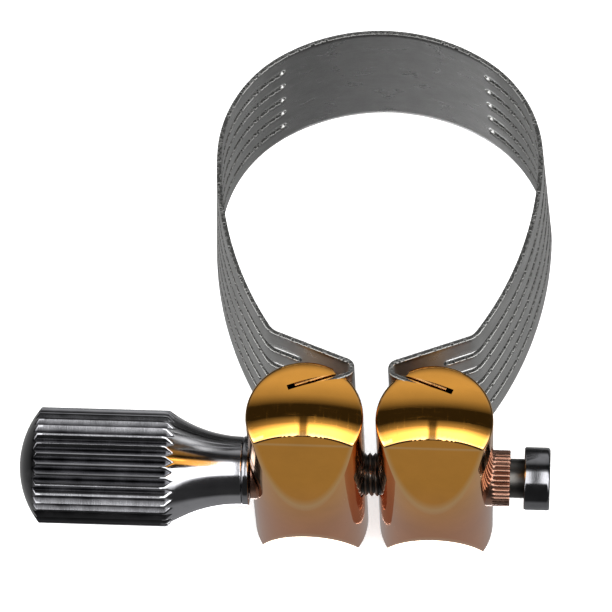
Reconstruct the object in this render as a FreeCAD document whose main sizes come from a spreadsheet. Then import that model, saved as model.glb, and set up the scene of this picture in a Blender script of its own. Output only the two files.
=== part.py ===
import FreeCAD, Part
import math
import os

import Sketcher
from FreeCAD import Placement, Rotation, Vector

# Saxophone ligature: a slotted spring band whose two folded ends hook into a pair
# of posts, and a thumb screw that draws the posts together.
#
# Frame: +Z runs along the mouthpiece, towards the narrow rim of the band. The
# screw lies along X, with its thumb knob at -X, and the posts stand at -Y of the
# ring. The origin is on the axis of the ring, half way up the band. Millimetres.

doc = FreeCAD.newDocument("Ligature")

# --- sizes -------------------------------------------------------------------

DRIVING = [
    ("band_thickness", 0.42, "spring strip"),
    ("band_width", 21.0, "along the mouthpiece"),
    ("plate_radius", 16.8, "middle of the strip at the reed plate, narrow rim"),
    ("plate_half_angle", 33.0, "half of the arc that the plate covers, degrees"),
    ("shoulder_radius", 11.8, "middle of the strip beside the plate"),
    ("flank_radius", 30.7, "middle of the strip at the sides"),
    ("flank_angle", 33.5, "arc that each side covers, degrees"),
    ("bend_radius", 1.8, "where a side turns into the shelf"),
    ("rim_growth", 1.07, "wide rim of the ring over the narrow rim"),
    ("shelf_slope", 21.0, "rise of the shelf away from the gap, degrees"),
    ("lip_slope", 20.0, "fall of the hooked lip away from the gap, degrees"),
    ("fold_radius", 0.72, "middle of the strip in the fold"),
    ("slot_rows", 5, "slots in each side of the band"),
    ("slot_gap", 1.1, "width of a slot"),
    ("web_length", 4.6, "plain shelf between the fold and the slots"),
    ("post_setback", 23.85, "origin to the plane of the posts"),
    ("post_gap", 1.08, "between the two posts"),
    ("post_radius", 5.22, "post"),
    ("post_above", 13.2, "screw axis to the upper rim of a post"),
    ("post_below", 11.3, "screw axis to the lower rim of a post"),
    ("dome_rise", 1.6, "dome on each end of a post"),
    ("facet_length", 8.6, "facet, measured down the front of a post"),
    ("facet_depth", 2.42, "how far the facet has cut in at the rim"),
    ("screw_drop", 2.9, "screw axis below the middle of the band"),
    ("lip_wall", 0.21, "between the bore of a post and the slot of the lip"),
    ("fold_standoff", 0.57, "centre of the fold outside the round of the post"),
    ("lip_tip", -0.1, "post axis to the end of the lip, along the lip"),
    ("lip_clearance", 0.06, "each side of the lip in its slot"),
    ("fold_clearance", 0.05, "round the fold where it enters the post"),
    ("tip_clearance", 0.8, "beyond the end of the lip"),
    ("screw_radius", 2.0, "thread of the spindle, over its crests"),
    ("neck_step", 0.2, "thread down to the turned neck, radial"),
    ("neck_length", 1.27, "neck showing between the bush and the end cap"),
    ("running_clearance", 0.05, "round the spindle, radial"),
    ("bush_wall", 0.5, "both bushes, radial"),
    ("seat_wall", 0.19, "between the slot of the lip and the seat of a bush"),
    ("bush_proud", 1.53, "knurled bush standing out of its post"),
    ("bush_teeth", 32, "straight knurl of the bush"),
    ("bush_tooth", 0.16, "depth of that knurl"),
    ("press_clearance", 0.01, "round a pressed piece, radial"),
    ("cap_radius", 2.9, "end cap"),
    ("cap_length", 2.35, "end cap"),
    ("cap_seat", 1.6, "depth of the neck in the cap"),
    ("cap_bevel", 0.3, "rounded edge of the cap"),
    ("washer_gap", 0.1, "free play between the washer and the post"),
    ("washer_radius", 3.15, "thrust washer"),
    ("washer_length", 0.62, "thrust washer"),
    ("knob_radius", 5.3, "over the knurl"),
    ("knob_dome", 1.9, "rise of the rounded end"),
    ("knob_grip", 11.6, "length of the knurl"),
    ("knob_flare", 6.8, "length of the concave neck"),
    ("knob_neck_radius", 3.1, "end of the concave neck"),
    ("knob_flutes", 34, "straight knurl of the knob"),
    ("knob_flute", 0.45, "depth of that knurl"),
    ("knob_seat", 9.0, "depth of the spindle in the knob"),
    ("face_clearance", 0.02, "between faces that turn against each other"),
    ("knurl_spread", 1.2, "half width of a knurl groove, over its depth"),
    ("knurl_lead", 0.2, "drawn outside the crests, over the depth of the groove"),
    ("cut_margin", 1.0, "how far a cut is drawn past the metal"),
]

DERIVED = [
    ("half_spacing", "post_radius + post_gap / 2"),
    ("facet_top", "post_above + dome_rise + cut_margin"),
    ("facet_foot", "post_above - facet_length"),
    ("facet_run", "post_radius - facet_depth * (facet_length + dome_rise + cut_margin) / facet_length"),
    ("facet_clear", "post_radius + cut_margin"),
    ("low_top", "post_below + dome_rise + cut_margin"),
    ("low_foot", "post_below - facet_length"),
    ("post_peak", "post_above + dome_rise"),
    ("post_base", "post_below + dome_rise"),
    ("through_bore", "screw_radius + 2 * running_clearance"),
    ("slit_near", "through_bore + lip_wall"),
    ("lip_offset", "slit_near + lip_clearance + band_thickness / 2"),
    ("slit_far", "lip_offset + band_thickness / 2 + lip_clearance"),
    ("slit_end", "lip_tip + tip_clearance"),
    ("slit_start", "post_radius + cut_margin"),
    ("relief_centre", "lip_offset + fold_radius"),
    ("fold_reach", "sqrt((post_radius + fold_standoff) ^ 2 - relief_centre ^ 2)"),
    ("relief_radius", "fold_radius + band_thickness / 2 + fold_clearance"),
    ("screw_bore", "screw_radius + running_clearance"),
    ("bush_radius", "screw_bore + bush_wall"),
    ("bush_bore", "bush_radius + press_clearance"),
    ("outer_side", "half_spacing + post_radius"),
    ("slit_side", "slit_end * cos(lip_slope) + slit_far * sin(lip_slope)"),
    ("bush_seat", "post_radius - slit_side - seat_wall"),
    ("bush_inner", "outer_side - bush_seat"),
    ("bush_outer", "outer_side + bush_proud"),
    ("bush_length", "bush_seat + bush_proud"),
    ("bush_root", "bush_radius - bush_tooth"),
    ("bush_tooth_half", "bush_tooth * knurl_spread"),
    ("bush_crest", "bush_radius + bush_tooth * knurl_lead"),
    ("washer_start", "-outer_side - washer_gap - washer_length"),
    ("knob_end", "washer_start - face_clearance"),
    ("knob_length", "knob_dome + knob_grip + knob_flare"),
    ("knob_start", "knob_end - knob_length"),
    ("grip_end", "knob_dome + knob_grip"),
    ("knob_bore", "screw_radius + press_clearance"),
    ("knob_bore_floor", "knob_length - knob_seat"),
    ("flute_root", "knob_radius - knob_flute"),
    ("flute_half", "knob_flute * knurl_spread"),
    ("flute_crest", "knob_radius + knob_flute * knurl_lead"),
    ("spindle_start", "knob_end - knob_seat"),
    ("spindle_shoulder", "bush_outer - spindle_start - face_clearance"),
    ("cap_start", "bush_outer + neck_length"),
    ("spindle_length", "cap_start + cap_seat - spindle_start"),
    ("neck_radius", "screw_radius - neck_step"),
    ("cap_bore", "neck_radius + press_clearance"),
    ("cap_bore_depth", "cap_seat + press_clearance"),
    ("cap_flat", "cap_radius - cap_bevel"),
    ("cap_bevel_start", "cap_length - cap_bevel"),
]

sheet = doc.addObject("Spreadsheet::Sheet", "Sizes")
for row, (name, value, note) in enumerate(DRIVING, start=1):
    sheet.set("A%d" % row, name)
    sheet.set("B%d" % row, str(value))
    sheet.set("C%d" % row, note)
    sheet.setAlias("B%d" % row, name)
for row, (name, formula) in enumerate(DERIVED, start=len(DRIVING) + 2):
    sheet.set("A%d" % row, name)
    sheet.set("B%d" % row, "=" + formula)
    sheet.setAlias("B%d" % row, name)
doc.recompute()


def size(name):
    """Value of a cell, or its negative for a name written with a minus sign."""
    if name.startswith("-"):
        return -float(sheet.get(name[1:]))
    return float(sheet.get(name))


def cell(name):
    """Expression that follows a cell."""
    if name.startswith("-"):
        return "-Sizes." + name[1:]
    return "Sizes." + name


# --- drawing helpers ---------------------------------------------------------

def new_body(label):
    body = doc.addObject("PartDesign::Body", label)
    body.Label = label
    return body


def plane(body, role):
    return next(f for f in body.Origin.OriginFeatures if f.Role == role)


def new_sketch(body, role):
    sketch = body.newObject("Sketcher::SketchObject", "Sketch")
    sketch.AttachmentSupport = [(plane(body, role), "")]
    sketch.MapMode = "FlatFace"
    return sketch


def pin(sketch, edge, end, across, up):
    """Tie one end of an edge to two cells; None puts it on that axis."""
    if across is None:
        sketch.addConstraint(Sketcher.Constraint("PointOnObject", edge, end, -2))
    else:
        number = sketch.addConstraint(Sketcher.Constraint("DistanceX", -1, 1, edge, end, size(across)))
        sketch.setExpression("Constraints[%d]" % number, cell(across))
    if up is None:
        sketch.addConstraint(Sketcher.Constraint("PointOnObject", edge, end, -1))
    else:
        number = sketch.addConstraint(Sketcher.Constraint("DistanceY", -1, 1, edge, end, size(up)))
        sketch.setExpression("Constraints[%d]" % number, cell(up))


def place(corner):
    return Vector(*[0.0 if name is None else size(name) for name in corner], 0.0)


def arc_centre(start, end, kind):
    """Centre of the arc between two corners: on an axis, or straight above the end."""
    chord = end - start
    middle = (start + end) * 0.5
    if kind == "across axis":
        return Vector(middle.x + chord.y * middle.y / chord.x, 0.0, 0.0)
    if kind == "up axis":
        return Vector(0.0, middle.y + chord.x * middle.x / chord.y, 0.0)
    return Vector(end.x, middle.y + chord.x * (middle.x - end.x) / chord.y, 0.0)


def outline(sketch, corners, arcs=None):
    """Closed outline through the corners, straight but for the arcs {edge: kind}."""
    arcs = arcs or {}
    ends = []
    for index, corner in enumerate(corners):
        start = place(corner)
        end = place(corners[(index + 1) % len(corners)])
        if index not in arcs:
            edge = sketch.addGeometry(Part.LineSegment(start, end), False)
            ends.append((edge, 1, 2))
            continue
        centre = arc_centre(start, end, arcs[index])
        first = math.atan2(start.y - centre.y, start.x - centre.x)
        last = math.atan2(end.y - centre.y, end.x - centre.x)
        turn = (last - first + math.pi) % (2 * math.pi) - math.pi
        circle = Part.Circle(centre, Vector(0, 0, 1), (start - centre).Length)
        if turn > 0:
            edge = sketch.addGeometry(Part.ArcOfCircle(circle, first, first + turn), False)
            ends.append((edge, 1, 2))
        else:
            edge = sketch.addGeometry(Part.ArcOfCircle(circle, last, last - turn), False)
            ends.append((edge, 2, 1))
    for index, (edge, _, end) in enumerate(ends):
        following, start, _ = ends[(index + 1) % len(ends)]
        sketch.addConstraint(Sketcher.Constraint("Coincident", edge, end, following, start))
    for (edge, start, _), corner in zip(ends, corners):
        pin(sketch, edge, start, *corner)
    for index, kind in arcs.items():
        edge, _, end = ends[index]
        if kind == "above end":
            sketch.addConstraint(Sketcher.Constraint("Vertical", edge, 3, edge, end))
        else:
            axis = -1 if kind == "across axis" else -2
            sketch.addConstraint(Sketcher.Constraint("PointOnObject", edge, 3, axis))


def disc(sketch, radius, across=None, up=None):
    """Circle of a radius from the sheet, at the middle of the sketch or at two cells."""
    centre = place((across, up))
    edge = sketch.addGeometry(Part.Circle(centre, Vector(0, 0, 1), size(radius)), False)
    number = sketch.addConstraint(Sketcher.Constraint("Radius", edge, size(radius)))
    sketch.setExpression("Constraints[%d]" % number, cell(radius))
    pin(sketch, edge, 3, across, up)


def turned(body, corners, arcs=None, role="XY_Plane", axis="H_Axis"):
    """Solid turned from an outline that runs along the axis."""
    sketch = new_sketch(body, role)
    outline(sketch, corners, arcs)
    turn = body.newObject("PartDesign::Revolution", "Turned")
    turn.Profile = sketch
    turn.ReferenceAxis = (sketch, [axis])
    turn.Angle = 360
    body.Tip = turn
    doc.recompute()
    return turn


def cut_through(body, sketch):
    """Pocket right through the body, both ways, that must take material away."""
    before = body.Shape.Volume
    pocket = body.newObject("PartDesign::Pocket", "Cut")
    pocket.Profile = sketch
    pocket.Type = "ThroughAll"
    pocket.Midplane = True
    body.Tip = pocket
    doc.recompute()
    if not body.Shape.Volume < before:
        raise RuntimeError("%s: %s cuts nothing" % (body.Label, pocket.Name))
    return pocket


def fluted(body, root, crest, half, count):
    """V grooves along X, cut straight through and repeated round the axis."""
    sketch = new_sketch(body, "YZ_Plane")
    outline(sketch, [(None, root), (half, crest), ("-" + half, crest)])
    groove = cut_through(body, sketch)
    ring = body.newObject("PartDesign::PolarPattern", "Flutes")
    ring.Originals = [groove]
    ring.Axis = (plane(body, "X_Axis"), [""])
    ring.Angle = 360
    ring.setExpression("Occurrences", cell(count))
    body.Tip = ring
    doc.recompute()


def put(feature, across=None, back="-post_setback", up="-screw_drop"):
    """Place a sub-part by cells of the sheet."""
    for axis, name in (("x", across), ("y", back), ("z", up)):
        if name is not None:
            feature.setExpression("Placement.Base." + axis, cell(name))


# --- posts -------------------------------------------------------------------

def post(label, side):
    """Round post, domed and faceted at both ends, slit for the lip of the band and
    bored for the screw; side is -1 for the knob's side and 1 for the other."""
    sign = "-" if side < 0 else ""
    body = new_body(label)
    turned(
        body,
        [
            (None, "-post_base"),
            ("post_radius", "-post_below"),
            ("post_radius", "post_above"),
            (None, "post_peak"),
        ],
        {0: "up axis", 2: "up axis"},
        role="XZ_Plane",
        axis="V_Axis",
    )
    upper = new_sketch(body, "YZ_Plane")
    outline(upper, [
        ("-post_radius", "facet_foot"),
        ("-facet_run", "facet_top"),
        ("-facet_clear", "facet_top"),
        ("-facet_clear", "facet_foot"),
    ])
    cut_through(body, upper)
    lower = new_sketch(body, "YZ_Plane")
    outline(lower, [
        ("-post_radius", "-low_foot"),
        ("-facet_run", "-low_top"),
        ("-facet_clear", "-low_top"),
        ("-facet_clear", "-low_foot"),
    ])
    cut_through(body, lower)

    # The slit for the lip and the relief for the fold, drawn along the lip.
    tilt = "-lip_slope" if side > 0 else "lip_slope"
    inward = "-" if side > 0 else ""
    slit = new_sketch(body, "XY_Plane")
    slit.setExpression("AttachmentOffset.Rotation.Angle", cell(tilt))
    outline(slit, [
        (inward + "slit_start", "slit_near"),
        (sign + "slit_end", "slit_near"),
        (sign + "slit_end", "slit_far"),
        (inward + "slit_start", "slit_far"),
    ])
    cut_through(body, slit)
    relief = new_sketch(body, "XY_Plane")
    relief.setExpression("AttachmentOffset.Rotation.Angle", cell(tilt))
    disc(relief, "relief_radius", inward + "fold_reach", "relief_centre")
    cut_through(body, relief)

    # The clearance hole of the screw, and the seat of the bush from the outer side.
    hole = new_sketch(body, "YZ_Plane")
    disc(hole, "through_bore")
    cut_through(body, hole)
    seat = new_sketch(body, "YZ_Plane")
    seat.setExpression("AttachmentOffset.Base.z", cell(sign + "post_radius"))
    disc(seat, "bush_bore")
    before = body.Shape.Volume
    socket = body.newObject("PartDesign::Pocket", "BushSeat")
    socket.Profile = seat
    socket.Type = "Length"
    socket.setExpression("Length", cell("bush_seat"))
    socket.Reversed = side < 0
    body.Tip = socket
    doc.recompute()
    if not body.Shape.Volume < before:
        raise RuntimeError("%s: the bush seat cuts nothing" % label)
    put(body, sign + "half_spacing")
    return body


# --- band --------------------------------------------------------------------

def heading(degrees):
    angle = math.radians(degrees)
    return Vector(math.cos(angle), math.sin(angle), 0.0)


def rim_steps(growth):
    """Right half of a rim from the tip of the lip to the top of the plate, as
    (straight length, 0) or (radius, turn in degrees, left positive)."""
    shelf, lip = size("shelf_slope"), size("lip_slope")
    plate, flank = size("plate_half_angle"), size("flank_angle")
    arcs = [
        (size("bend_radius"), 90.0 - shelf - flank),
        (size("flank_radius") * growth, flank),
        (size("shoulder_radius") * growth, 90.0 - plate),
        (size("plate_radius") * growth, plate),
    ]
    hook = [(size("lip_tip") + size("fold_reach"), 0.0), (size("fold_radius"), shelf + lip - 180.0)]
    # The shelf is as long as it takes for the plate to end on the plane of symmetry.
    short = walk(hook + [(0.0, 0.0)] + arcs)[-1][0].x
    return hook + [(-short / math.cos(math.radians(shelf)), 0.0)] + arcs


def walk(steps):
    """Point and heading at the start of each step and after the last one."""
    lip = size("lip_slope")
    along, normal = heading(-lip), heading(90.0 - lip)
    point = Vector(size("half_spacing"), -size("post_setback"), 0.0)
    point += along * size("lip_tip") + normal * size("lip_offset")
    course = 180.0 - lip
    trail = [(point, course)]
    for length, turn in steps:
        if turn:
            centre = point + heading(course + math.copysign(90.0, turn)) * length
            point = centre - heading(course + turn + math.copysign(90.0, turn)) * length
            course += turn
        else:
            point = point + heading(course) * length
        trail.append((point, course))
    return trail


def half_rim(steps, offset):
    """Edges of the right half, set off to the right of its path."""
    edges = []
    for (start, course), (end, after), (length, turn) in zip(walk(steps), walk(steps)[1:], steps):
        first = start + heading(course - 90.0) * offset
        last = end + heading(after - 90.0) * offset
        if turn:
            side = math.copysign(90.0, turn)
            centre = start + heading(course + side) * length
            reach = (first - centre).Length
            middle = centre - heading(course + turn / 2.0 + side) * reach
            edges.append(Part.Arc(first, middle, last).toShape())
        else:
            edges.append(Part.LineSegment(first, last).toShape())
    return edges


def mirrored(shape):
    return shape.mirror(Vector(0, 0, 0), Vector(1, 0, 0))


def rim_wire(growth, height):
    """Closed outline of the strip at one rim."""
    steps = rim_steps(growth)
    half = size("band_thickness") / 2.0
    outer, inner = half_rim(steps, half), half_rim(steps, -half)
    tip = Part.LineSegment(outer[0].firstVertex().Point, inner[0].firstVertex().Point).toShape()
    right = [tip] + outer + inner
    edges = right + [mirrored(edge) for edge in right]
    wire = Part.Wire(Part.__sortEdges__(edges))
    wire.translate(Vector(0, 0, height))
    return wire


def slot_cutter(growth, height):
    """Cutter for one slot of the right side, with rounded ends."""
    trail = walk(rim_steps(growth))
    fold_end, plate_start = trail[2][0], trail[6][0]
    foot = fold_end + heading(size("shelf_slope")) * size("web_length")
    head_out = heading(90.0 - size("plate_half_angle"))
    foot_out = heading(size("shelf_slope") - 90.0)
    reach = 2.0 * size("fold_radius")
    far = size("plate_radius") * growth * 1.5
    corners = [
        Vector(0, 0, 0),
        plate_start + head_out * reach,
        Vector(far, plate_start.y + reach, 0),
        Vector(far, foot.y, 0),
        foot + foot_out * reach,
        foot - foot_out * reach,
    ]
    gap = size("slot_gap")
    face = Part.Face(Part.makePolygon(corners + corners[:1]))
    face.translate(Vector(0, 0, height - gap / 2.0))
    cutter = face.extrude(Vector(0, 0, gap))
    for point, out in ((plate_start, head_out), (foot, foot_out)):
        base = point - out * reach + Vector(0, 0, height)
        cutter = cutter.fuse(Part.makeCylinder(gap / 2.0, 2.0 * reach, base, out))
    return cutter


def band_shape():
    """Strip between its two rims, less the rows of slots in both sides."""
    width, growth = size("band_width"), size("rim_growth")
    strip = Part.makeLoft([rim_wire(1.0, width / 2.0), rim_wire(growth, -width / 2.0)], True, True)
    rows = int(size("slot_rows"))
    pitch = width / (rows + 1)
    cutters = []
    for row in range(1, rows + 1):
        share = row / (rows + 1)
        cutter = slot_cutter(1.0 + (growth - 1.0) * share, width / 2.0 - row * pitch)
        cutters += [cutter, mirrored(cutter)]
    return strip.cut(cutters)


# --- the pieces --------------------------------------------------------------

left_post = post("left_post", -1)
right_post = post("right_post", 1)

band = doc.addObject("Part::Feature", "slotted_band")
band.Label = "slotted_band"
band.Shape = band_shape()
band.Placement = Placement(Vector(0, 0, 0), Rotation())

plain_bush = new_body("plain_bush")
turned(plain_bush, [
    (None, "screw_bore"),
    (None, "bush_radius"),
    ("bush_seat", "bush_radius"),
    ("bush_seat", "screw_bore"),
])
put(plain_bush, "-outer_side")

threaded_bush = new_body("threaded_bush")
turned(threaded_bush, [
    (None, "screw_bore"),
    (None, "bush_radius"),
    ("bush_length", "bush_radius"),
    ("bush_length", "screw_bore"),
])
fluted(threaded_bush, "bush_root", "bush_crest", "bush_tooth_half", "bush_teeth")
put(threaded_bush, "bush_inner")

spindle = new_body("screw_spindle")
turned(spindle, [
    (None, None),
    (None, "screw_radius"),
    ("spindle_shoulder", "screw_radius"),
    ("spindle_shoulder", "neck_radius"),
    ("spindle_length", "neck_radius"),
    ("spindle_length", None),
])
put(spindle, "spindle_start")

end_cap = new_body("end_cap")
turned(end_cap, [
    ("cap_bore_depth", None),
    ("cap_bore_depth", "cap_bore"),
    (None, "cap_bore"),
    (None, "cap_radius"),
    ("cap_bevel_start", "cap_radius"),
    ("cap_length", "cap_flat"),
    ("cap_length", None),
])
put(end_cap, "cap_start")

washer = new_body("thrust_washer")
turned(washer, [
    (None, "screw_bore"),
    (None, "washer_radius"),
    ("washer_length", "washer_radius"),
    ("washer_length", "screw_bore"),
])
put(washer, "washer_start")

knob = new_body("thumb_knob")
turned(
    knob,
    [
        (None, None),
        ("knob_dome", "knob_radius"),
        ("grip_end", "knob_radius"),
        ("knob_length", "knob_neck_radius"),
        ("knob_length", "knob_bore"),
        ("knob_bore_floor", "knob_bore"),
        ("knob_bore_floor", None),
    ],
    {0: "across axis", 2: "above end"},
)
fluted(knob, "flute_root", "flute_crest", "flute_half", "knob_flutes")
put(knob, "knob_start")

# --- check and write ---------------------------------------------------------

doc.recompute()
PIECES = [
    band, left_post, right_post, plain_bush, threaded_bush,
    spindle, end_cap, washer, knob,
]
for item in doc.Objects:
    if "Invalid" in item.State or "Error" in item.State:
        raise RuntimeError("%s failed: %s" % (item.Label, item.State))
for piece in PIECES:
    shape = piece.Shape
    if shape.isNull() or not shape.isValid() or len(shape.Solids) != 1:
        raise RuntimeError("%s is not one valid solid" % piece.Label)

os.makedirs("parts", exist_ok=True)
for piece in PIECES:
    piece.Shape.exportStep("parts/%s.step" % piece.Label)
    print("%-16s %9.2f mm3" % (piece.Label, piece.Shape.Volume))
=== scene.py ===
import math

import bmesh
import bpy
import numpy as np
from mathutils import Matrix, Vector


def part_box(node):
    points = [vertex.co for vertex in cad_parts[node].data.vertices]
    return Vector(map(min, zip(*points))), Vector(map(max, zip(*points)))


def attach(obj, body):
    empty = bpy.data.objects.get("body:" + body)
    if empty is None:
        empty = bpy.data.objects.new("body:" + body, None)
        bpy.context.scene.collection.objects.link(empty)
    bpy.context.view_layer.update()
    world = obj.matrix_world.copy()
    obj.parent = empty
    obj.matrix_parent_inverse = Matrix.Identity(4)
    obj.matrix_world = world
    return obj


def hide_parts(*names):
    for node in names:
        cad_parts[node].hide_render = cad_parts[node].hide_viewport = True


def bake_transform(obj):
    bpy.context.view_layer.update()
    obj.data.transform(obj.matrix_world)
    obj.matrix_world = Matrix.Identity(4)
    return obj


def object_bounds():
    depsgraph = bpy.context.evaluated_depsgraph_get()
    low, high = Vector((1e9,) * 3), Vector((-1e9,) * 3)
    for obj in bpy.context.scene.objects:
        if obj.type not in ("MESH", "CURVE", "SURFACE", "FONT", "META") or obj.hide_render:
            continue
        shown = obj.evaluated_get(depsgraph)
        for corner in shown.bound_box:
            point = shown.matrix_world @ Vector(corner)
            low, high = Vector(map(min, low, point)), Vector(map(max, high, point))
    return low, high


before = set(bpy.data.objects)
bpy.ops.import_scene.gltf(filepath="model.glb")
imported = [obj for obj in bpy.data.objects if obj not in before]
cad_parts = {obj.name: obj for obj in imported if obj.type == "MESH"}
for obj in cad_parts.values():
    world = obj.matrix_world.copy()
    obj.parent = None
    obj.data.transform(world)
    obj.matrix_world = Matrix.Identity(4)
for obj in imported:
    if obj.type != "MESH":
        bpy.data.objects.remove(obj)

# Saxophone ligature: the looks of a slotted spring band with two posts and a
# thumb screw. Every mesh is in metres, in the frame of the CAD model.

bl_info = {
    "name": "Saxophone ligature",
    "version": (1, 0, 0),
    "blender": (4, 5, 0),
    "location": "3D View > Sidebar > Ligature",
    "description": "Builds the detailed pieces, finishes and studio of a saxophone ligature",
    "category": "Object",
}

MM = 0.001
CAD_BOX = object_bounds()
POST_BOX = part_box("right_post")
KNOB_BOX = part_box("thumb_knob")
CAP_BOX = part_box("end_cap")
WASHER_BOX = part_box("thrust_washer")
BUSH_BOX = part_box("threaded_bush")
PLAIN_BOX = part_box("plain_bush")
SPINDLE_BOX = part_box("screw_spindle")
BAND_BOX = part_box("slotted_band")

POST_X = (POST_BOX[0][0] + POST_BOX[1][0]) / 2
POST_Y = (POST_BOX[0][1] + POST_BOX[1][1]) / 2
SCREW_Z = (KNOB_BOX[0][2] + KNOB_BOX[1][2]) / 2

JOIN = 2e-7  # nearer points are one point
SLIVER = 1e-8  # shorter edges are taken out
PRESS_ROOM = 0.01 * MM  # drawn where two parts are pressed together
RUN_ROOM = 0.05 * MM  # round the spindle where it turns
RUBBED = 0.3 * MM  # width of the wear along the ridges of a post
NEVER_FACET = 0.05  # cosine below which the plane of a facet is out of reach

# The camera: the point it looks at, the way from there to it and its right hand.
CAMERA_TARGET = Vector((-6.39, -10.17, 3.50)) * MM
CAMERA_WAY = Vector((0.04484, -0.40633, 0.91263)).normalized()
CAMERA_RIGHT = Vector((0.99862, 0.04310, -0.02988)).normalized()
CAMERA_DISTANCE = 478.7 * MM
CAMERA_LENS, CAMERA_SENSOR = 310.6, 36.0

# The studio by direction: pairs of one component of the direction and a strength.
FRONT_BOXES = [(-1, 0.0), (-0.64, 0.0), (-0.58, 4.0), (0.02, 4.0), (0.14, 0.6), (0.26, 0.0), (1, 0.0)]
BOX_GAP = [
    (-1, 0.5), (-0.5, 0.7), (-0.15, 1.0), (-0.09, 0.14), (0.01, 0.14), (0.07, 1.0), (0.5, 1.0), (1, 0.5),
]
BACK_WALL = [(-1, 0.04), (0.2, 0.03), (0.48, 0.03), (0.66, 0.5), (0.85, 0.75), (1, 0.7)]
GROUND = [(-1, 0.36), (-0.95, 0.36), (-0.5, 0.35), (-0.32, 0.05), (1, 0.04)]
PAPER_WAY = (-0.045, 0.129, -0.990)
PAPER_RIM, PAPER_FULL = 0.978, 0.986  # cosines at the rim of the patch and where it is full
PAPER_STRENGTH = 5.0
BACKDROP = (0.9, 0.9, 0.9, 1)
FLOOR_HALF = 3.0
FLOOR_GLOW = 0.65
LAMP_RADIANCE = 5.0


def metres(name, value, text):
    """A length that the user may change, shown in Blender's own units."""
    return bpy.props.FloatProperty(
        name=name, description=text, default=float(value), precision=6, unit="LENGTH",
        subtype="DISTANCE",
    )


def degrees(name, value, text):
    """An angle that the user may change; value is in degrees."""
    return bpy.props.FloatProperty(
        name=name, description=text, default=math.radians(value), unit="ROTATION", subtype="ANGLE"
    )


def linear(code):
    """Linear red, green and blue of an sRGB hex colour: each channel over 255, with the
    sRGB curve undone."""
    channels = np.array([int(code[i : i + 2], 16) for i in (1, 3, 5)]) / 255
    flat = np.where(channels <= 0.04045, channels / 12.92, ((channels + 0.055) / 1.055) ** 2.4)
    return tuple(float(c) for c in flat)


def colour(name, code, text):
    """A colour that the user may change, from its sRGB hex value."""
    return bpy.props.FloatVectorProperty(
        name=name, description=text, default=linear(code), size=3, min=0, max=1, subtype="COLOR"
    )


class LigatureSizes(bpy.types.PropertyGroup):
    """Sizes of the pieces; what the frame can tell is read from it."""

    thickness: metres("Strip thickness", 0.42 * MM, "Thickness of the spring strip")
    width: metres("Band width", BAND_BOX[1][2] - BAND_BOX[0][2], "Width of the band along the mouthpiece")
    plate_radius: metres("Plate radius", 16.8 * MM, "Middle of the strip at the reed plate, narrow rim")
    plate_angle: degrees("Plate half angle", 33, "Half of the arc that the plate covers")
    shoulder_radius: metres("Shoulder radius", 11.8 * MM, "Middle of the strip beside the plate")
    flank_radius: metres("Flank radius", 30.7 * MM, "Middle of the strip at the sides")
    flank_angle: degrees("Flank angle", 33.5, "Arc that each side covers")
    bend_radius: metres("Bend radius", 1.8 * MM, "Where a side turns into the shelf")
    growth: bpy.props.FloatProperty(
        name="Rim growth", description="Wide rim of the ring over the narrow rim", default=1.07
    )
    shelf_slope: degrees("Shelf slope", 21, "Rise of the shelf away from the gap")
    lip_slope: degrees("Lip slope", 20, "Fall of the hooked lip away from the gap")
    fold_radius: metres("Fold radius", 0.72 * MM, "Middle of the strip in the fold")
    lip_offset: metres("Lip offset", 2.58 * MM, "Post axis to the middle of the lip")
    lip_tip: metres("Lip tip", -0.1 * MM, "Post axis to the end of the lip, along the lip")
    fold_standoff: metres("Fold stand-off", 0.57 * MM, "Centre of the fold outside the round of the post")
    slots: bpy.props.IntProperty(name="Slots", description="Slots in each side of the band", default=5)
    slot_gap: metres("Slot gap", 1.1 * MM, "Width of a slot")
    web: metres("Web length", 4.6 * MM, "Plain shelf between the fold and the slots")
    edge_round: metres("Strip edge", 0.07 * MM, "Rounding of the cut edges of the strip")
    lip_room: metres("Lip room", 0.06 * MM, "Clearance each side of the lip in its slit")
    tip_room: metres("Tip room", 0.8 * MM, "Clearance beyond the end of the lip")
    post_radius: metres("Post radius", (POST_BOX[1][0] - POST_BOX[0][0]) / 2, "Round of a post")
    dome_rise: metres("Dome rise", 1.6 * MM, "Dome on each end of a post")
    facet_length: metres("Facet length", 8.6 * MM, "Facet, measured down the front of a post")
    facet_depth: metres("Facet depth", 2.42 * MM, "How far the facet has cut in at the rim")
    ridge_round: metres("Ridge rounding", 0.09 * MM, "Polished rounding where two faces of a post meet")
    bore: metres("Bore", 2.1 * MM, "Radius of the screw's bore in a post")
    thread_radius: metres("Thread radius", 2.0 * MM, "Spindle over the crests of its thread")
    pitch: metres("Thread pitch", 0.5 * MM, "From one crest to the next")
    neck_radius: metres("Neck radius", 1.8 * MM, "Turned neck that the end cap sits on")
    bush_teeth: bpy.props.IntProperty(
        name="Bush teeth", description="Straight knurl of the bush", default=32
    )
    bush_tooth: metres("Bush tooth", 0.16 * MM, "Depth of the bush's knurl")
    knob_dome: metres("Knob dome", 1.9 * MM, "Rise of the rounded end of the knob")
    knob_grip: metres("Knob grip", 11.6 * MM, "Length of the knob's knurl")
    knob_neck: metres("Knob neck", 3.1 * MM, "Radius at the end of the concave neck")
    flutes: bpy.props.IntProperty(name="Flutes", description="Straight knurl of the knob", default=34)
    flute: metres("Flute depth", 0.45 * MM, "Depth of the knob's knurl")


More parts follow.
